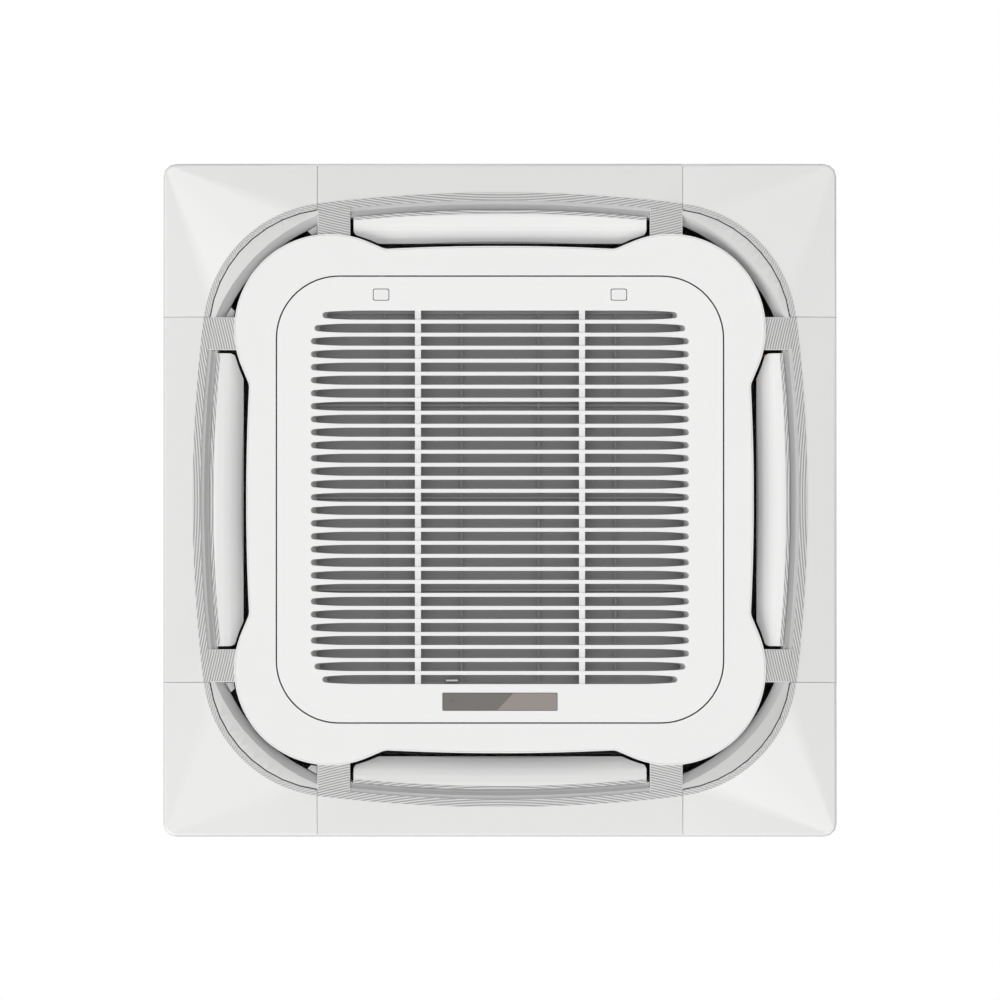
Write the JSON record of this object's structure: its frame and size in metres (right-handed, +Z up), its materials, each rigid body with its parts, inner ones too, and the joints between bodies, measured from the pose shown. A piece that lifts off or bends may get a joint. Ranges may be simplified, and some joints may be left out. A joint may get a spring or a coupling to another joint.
{
  "type": "ceiling cassette air conditioner",
  "caption": "Four-way ceiling cassette: square face panel with swing vanes and a hinged intake grille, below a sheet-metal unit with fan, coil and drain pan.",
  "frame": {"origin": "middle of the panel, at the level of the ceiling's underside", "axes": "+Z up; +Y towards the display window and the grille hinge, -Y towards the latches; +X to the right in a view from below with the display at the bottom"},
  "size_m": [0.95, 0.95, 0.3025],
  "materials": {
    "face_white": "satin",
    "inner_white": "satin",
    "vane_white": "satin",
    "latch_white": "satin",
    "dark_plastic": "matte",
    "drain_plastic": "satin",
    "smoked_window": "gloss",
    "circuit_board": "satin",
    "foam_white": "matte",
    "foam_dark": "matte",
    "galvanised": "satin",
    "zinc": "satin",
    "fin_aluminium": "satin",
    "copper": "satin",
    "pipe_brass": "satin",
    "rubber": "matte",
    "fan_plastic": "satin",
    "filter_net": "matte"
  },
  "bodies": {
    "unit": {"panel_frame": "face_white", "face_ring": "inner_white", "panel_seal": "foam_dark", "cabinet_shell": "galvanised", "top_plate": "galvanised", "wall_liner": "foam_white", "drain_pan": "foam_white", "bellmouth": "inner_white", "fan_motor": "dark_plastic", "motor_bracket": "galvanised", "motor_rubber_1": "rubber", "motor_rubber_2": "rubber", "motor_rubber_3": "rubber", "fin_pack": "fin_aluminium", "return_bends": "copper", "gas_pipe": "pipe_brass", "liquid_pipe": "pipe_brass", "pipe_plate": "galvanised", "drain_pump": "drain_plastic", "drain_pipe": "drain_plastic", "float_stem": "latch_white", "control_box": "galvanised", "control_box_lid": "galvanised", "vane_bush_display": "dark_plastic", "vane_motor_display": "zinc", "vane_bush_left": "dark_plastic", "vane_motor_left": "zinc", "vane_bush_latch": "dark_plastic", "vane_motor_latch": "zinc", "vane_bush_right": "dark_plastic", "vane_motor_right": "zinc", "corner_cover_1": "face_white", "panel_screw_1": "zinc", "corner_bracket_1": "galvanised", "corner_cover_2": "face_white", "panel_screw_2": "zinc", "corner_bracket_2": "galvanised", "corner_cover_3": "face_white", "panel_screw_3": "zinc", "corner_bracket_3": "galvanised", "corner_cover_4": "face_white", "panel_screw_4": "zinc", "corner_bracket_4": "galvanised"},
    "grille": {"intake_grille": "inner_white", "filter_frame": "latch_white", "filter_net": "filter_net", "display_lens": "smoked_window", "display_board": "circuit_board", "hinge_pin_left": "zinc", "hinge_pin_right": "zinc"},
    "button_left": {"latch_left": "latch_white"},
    "button_right": {"latch_right": "latch_white"},
    "rotor": {"fan": "fan_plastic", "motor_shaft": "zinc", "fan_nut": "zinc"},
    "float": {"float_ring": "latch_white"},
    "blade_display": {"vane_display": "vane_white"},
    "blade_left": {"vane_left": "vane_white"},
    "blade_latch": {"vane_latch": "vane_white"},
    "blade_right": {"vane_right": "vane_white"}
  },
  "joints": [
    {"name": "fan_spin", "type": "hinge", "parent": "unit", "child": "rotor", "pos_m": [0, 0, 0.15], "axis": [0, 0, 1], "continuous": true},
    {"name": "vane_display_swing", "type": "hinge", "parent": "unit", "child": "blade_display", "pos_m": [0, 0.399, -0.01396], "axis": [-1, 0, 0], "range_deg": [0, 60]},
    {"name": "vane_left_swing", "type": "hinge", "parent": "unit", "child": "blade_left", "pos_m": [-0.399, 0, -0.01396], "axis": [0, -1, 0], "range_deg": [0, 60]},
    {"name": "vane_latch_swing", "type": "hinge", "parent": "unit", "child": "blade_latch", "pos_m": [0, -0.399, -0.01396], "axis": [1, 0, 0], "range_deg": [0, 60]},
    {"name": "vane_right_swing", "type": "hinge", "parent": "unit", "child": "blade_right", "pos_m": [0.399, 0, -0.01396], "axis": [0, 1, 0], "range_deg": [0, 60]},
    {"name": "grille_hinge", "type": "hinge", "parent": "unit", "child": "grille", "pos_m": [0, 0.3305, -0.0328], "axis": [1, 0, 0], "range_deg": [0, 90]},
    {"name": "latch_left_press", "type": "slide", "parent": "grille", "child": "button_left", "axis": [0, 0, 1], "range_m": [0, 0.0035], "stiffness_N_per_m": 600, "springref_m": -0.001},
    {"name": "latch_right_press", "type": "slide", "parent": "grille", "child": "button_right", "axis": [0, 0, 1], "range_m": [0, 0.0035], "stiffness_N_per_m": 600, "springref_m": -0.001},
    {"name": "float_rise", "type": "slide", "parent": "unit", "child": "float", "axis": [0, 0, 1], "range_m": [0, 0.009]}
  ]
}
